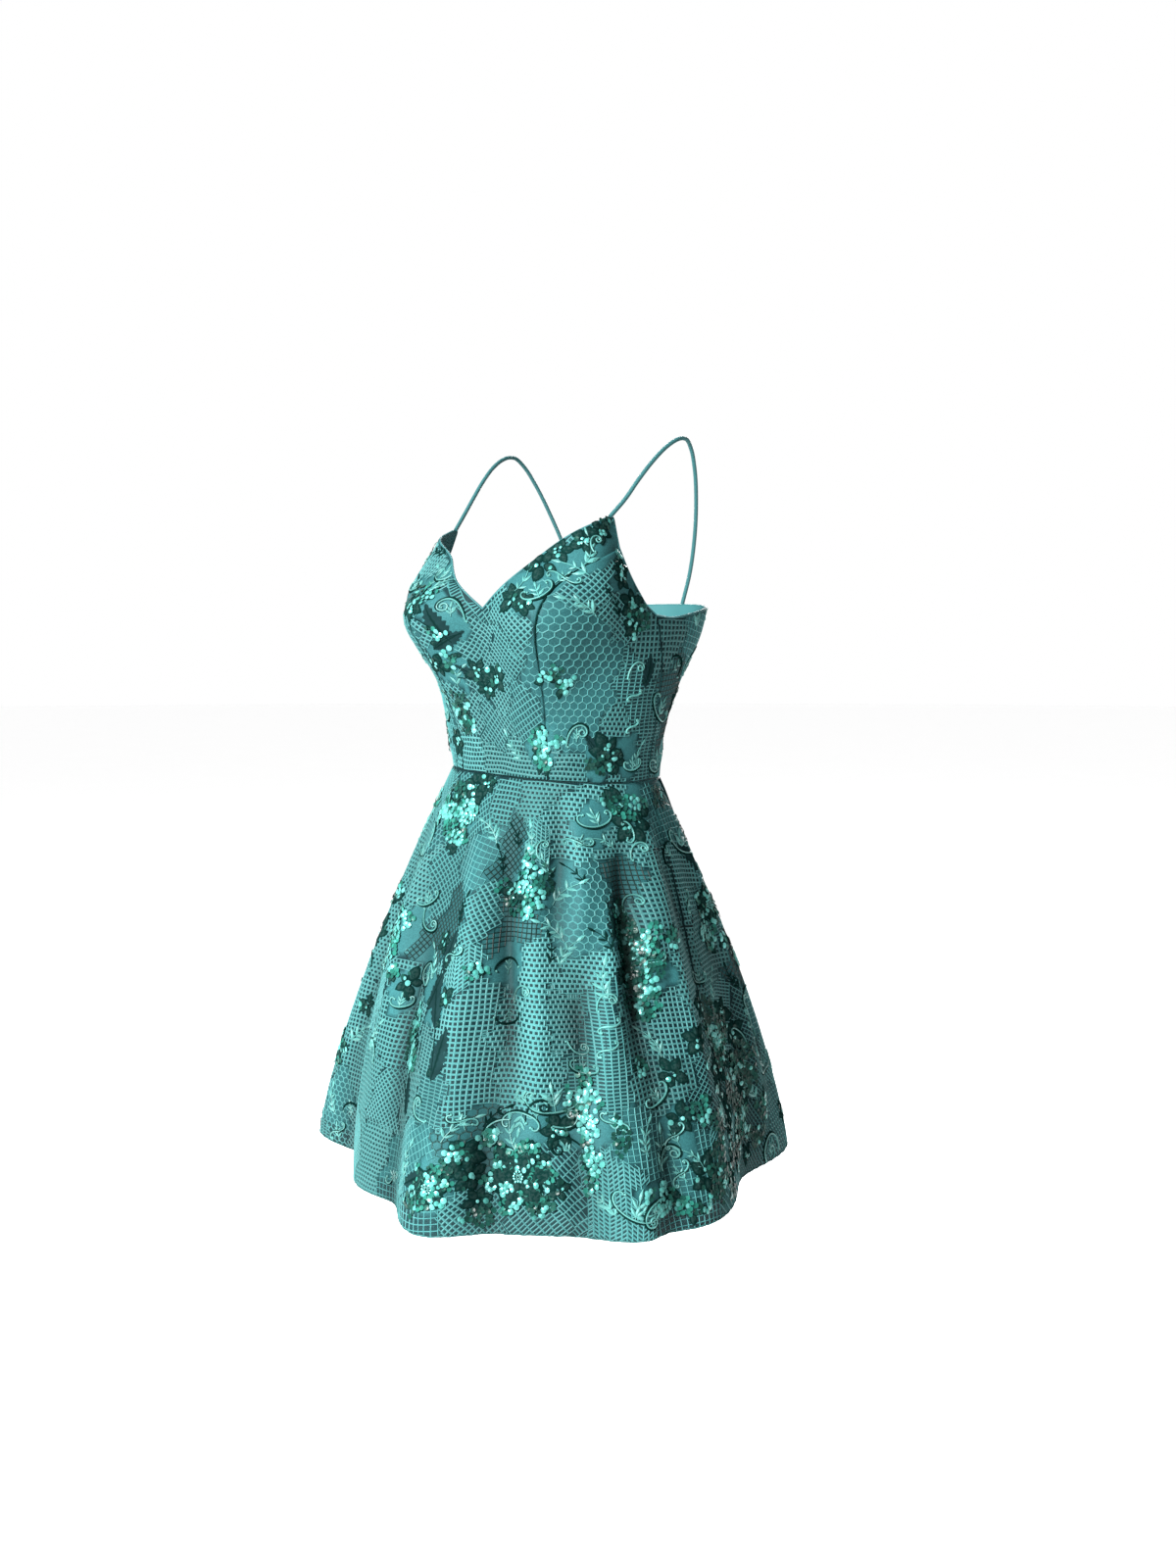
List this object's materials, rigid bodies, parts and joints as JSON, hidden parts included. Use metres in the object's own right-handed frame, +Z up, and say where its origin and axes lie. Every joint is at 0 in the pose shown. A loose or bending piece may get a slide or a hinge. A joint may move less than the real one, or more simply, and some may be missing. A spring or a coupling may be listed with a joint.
{
  "type": "cocktail dress",
  "caption": "Short V-neck dress with princess seams, a flared lace skirt over a shorter lining, thin shoulder straps and a back zip, in its worn shape.",
  "frame": {"origin": "midway between the undersides of the two straps' tops, where the wearer's shoulders hold the dress", "axes": "+Z up, -Y towards the front of the wearer, +X towards the wearer's left"},
  "size_m": [0.5259, 0.5291, 0.7697],
  "materials": {
    "lace": "net lace with embroidery and sequins, satin lustre",
    "lining": "satin",
    "strap": "satin",
    "zip": "satin paint matched to the cloth"
  },
  "bodies": {
    "dress": {"bodice_front_centre": "lace", "bodice_side_front_left": "lace", "bodice_side_front_right": "lace", "bodice_back_left": "lace", "bodice_back_right": "lace", "skirt_front": "lace", "skirt_back_left": "lace", "skirt_back_right": "lace", "lining_front": "lining", "lining_back_left": "lining", "lining_back_right": "lining", "strap_left": "strap", "strap_right": "strap", "zip_slider": "zip"},
    "pull_tab": {"zip_pull": "zip"}
  },
  "joints": [
    {"name": "pull_tab_hinge", "type": "hinge", "parent": "dress", "child": "pull_tab", "pos_m": [0, 0.08697, -0.1756], "axis": [1, 0, 0], "range_deg": [0, 150]}
  ]
}
